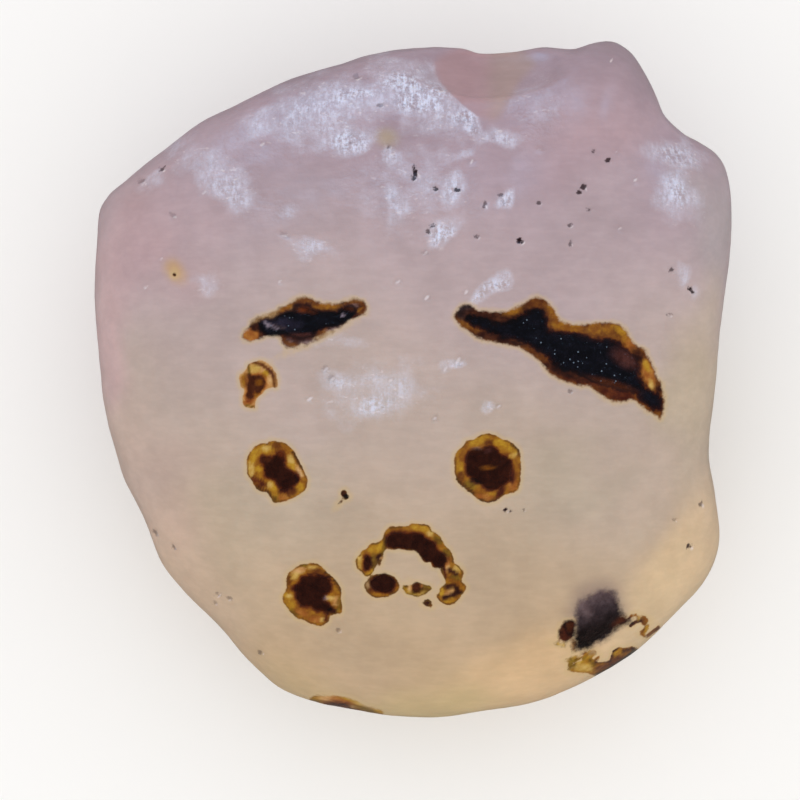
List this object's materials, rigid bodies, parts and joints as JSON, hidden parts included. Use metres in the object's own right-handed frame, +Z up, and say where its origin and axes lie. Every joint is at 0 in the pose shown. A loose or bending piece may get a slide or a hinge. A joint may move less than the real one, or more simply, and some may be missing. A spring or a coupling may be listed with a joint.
{
  "type": "gobi agate pebble",
  "caption": "Wind-polished milky pink agate pebble with dark iron and manganese stain patches, lying flat with its marked face up.",
  "frame": {"origin": "middle of the stone's box, at the level of the flat spot it rests on", "axes": "+Z up from the resting spot to the marked face, +Y towards the stone's top edge as the markings are looked at, +X to the right"},
  "size_m": [0.0452, 0.0479, 0.023],
  "materials": {
    "agate": "milky translucent chalcedony with a waxy wind polish, mauve pink at the top turning warm beige at the foot, with amber-rimmed dark brown to blue-black stain patches, spots and rings"
  },
  "bodies": {
    "root": {"agate_stone": "agate"}
  },
  "joints": []
}
